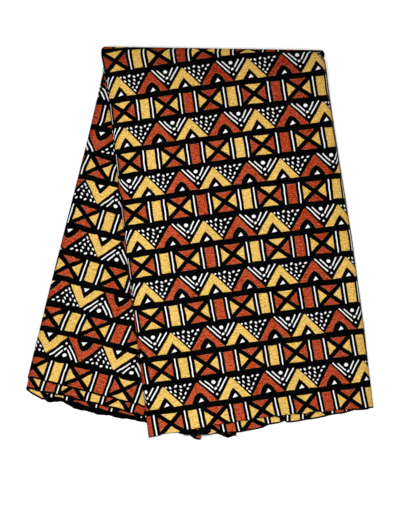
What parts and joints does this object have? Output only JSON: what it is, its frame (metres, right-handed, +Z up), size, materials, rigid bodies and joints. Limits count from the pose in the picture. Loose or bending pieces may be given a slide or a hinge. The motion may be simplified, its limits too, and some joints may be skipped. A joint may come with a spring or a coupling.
{
  "type": "folded printed cotton cloth",
  "caption": "Cut length of geometric-print cotton, folded lengthwise into a layered strip and folded over at a slant, lying flat.",
  "frame": {"origin": "on the surface that the cloth lies on, under the middle of its outline", "axes": "+Y towards the top fold, +X towards the side that the front panel swings to, +Z up from the surface"},
  "size_m": [0.4482, 0.5062, 0.0116],
  "materials": {
    "printed_cotton": "printed plain-weave cotton with a faint calendered sheen: yellow, brick red and white figures on black"
  },
  "bodies": {
    "root": {"folded_cloth": "printed_cotton"}
  },
  "joints": []
}
